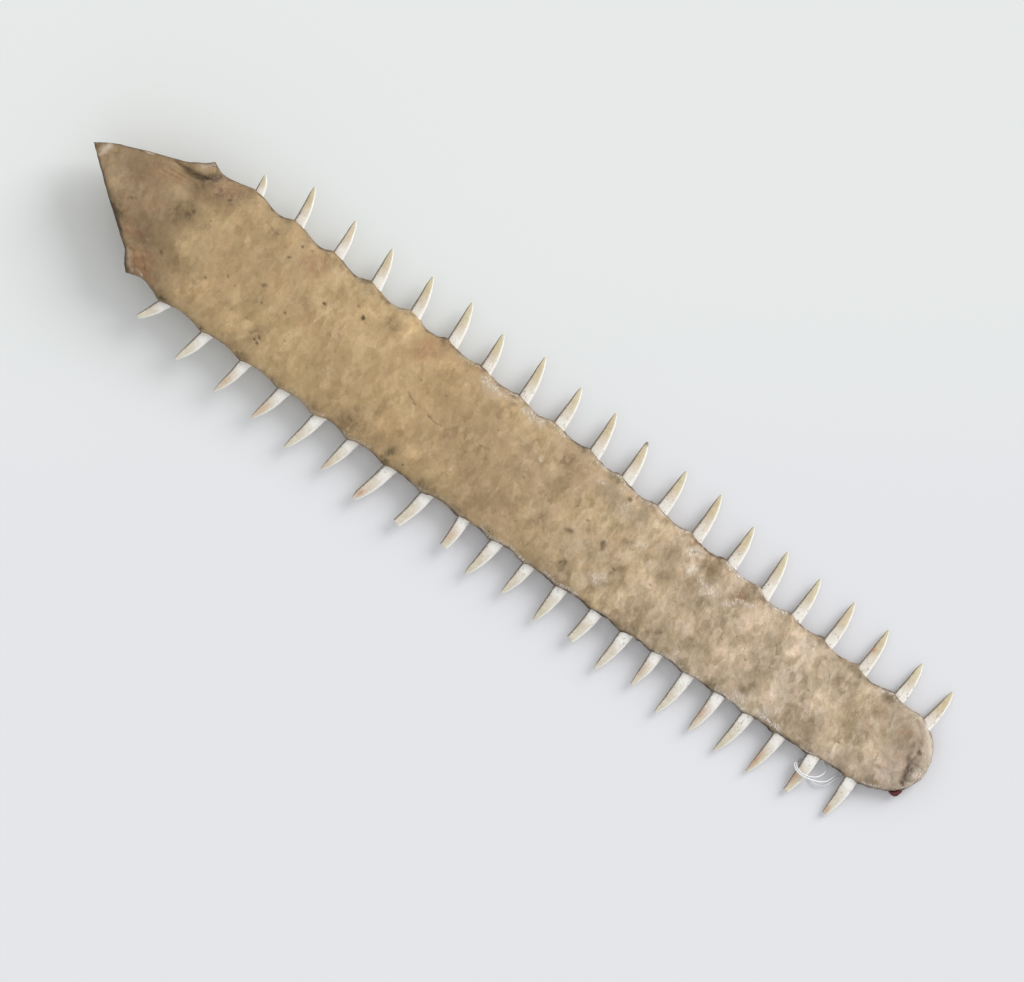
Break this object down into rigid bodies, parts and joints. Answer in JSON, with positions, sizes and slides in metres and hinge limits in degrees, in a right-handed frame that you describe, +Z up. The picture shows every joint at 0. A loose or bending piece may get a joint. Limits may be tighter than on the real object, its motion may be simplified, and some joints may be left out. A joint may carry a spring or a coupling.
{
  "type": "sawfish rostrum",
  "caption": "Dried saw of a sawfish: a long flat blade of skin-covered cartilage with teeth along both edges, cut to a point at the head end, lying flat.",
  "frame": {"origin": "middle of the blade's length, on its long axis, on the flat underside that rests on the surface", "axes": "+X along the blade to its rounded free end, +Y to the edge with twenty teeth, +Z up out of the upper face"},
  "size_m": [0.5418, 0.1193, 0.0319],
  "materials": {
    "dried_skin": "dry, fine-grained hide, mottled ochre to grey-beige",
    "tooth": "dentine: chalky white at the root, ivory towards the point, with brown pits",
    "cartilage": "dry, fibrous cut face of the cartilage under the skin",
    "dried_tissue": "dark red, dried",
    "nylon": "clear to white filament"
  },
  "bodies": {
    "root": {"rostrum": "dried_skin", "tip_chip": "dried_tissue", "tag_loop": "nylon", "tag_knot": "nylon"}
  },
  "joints": []
}
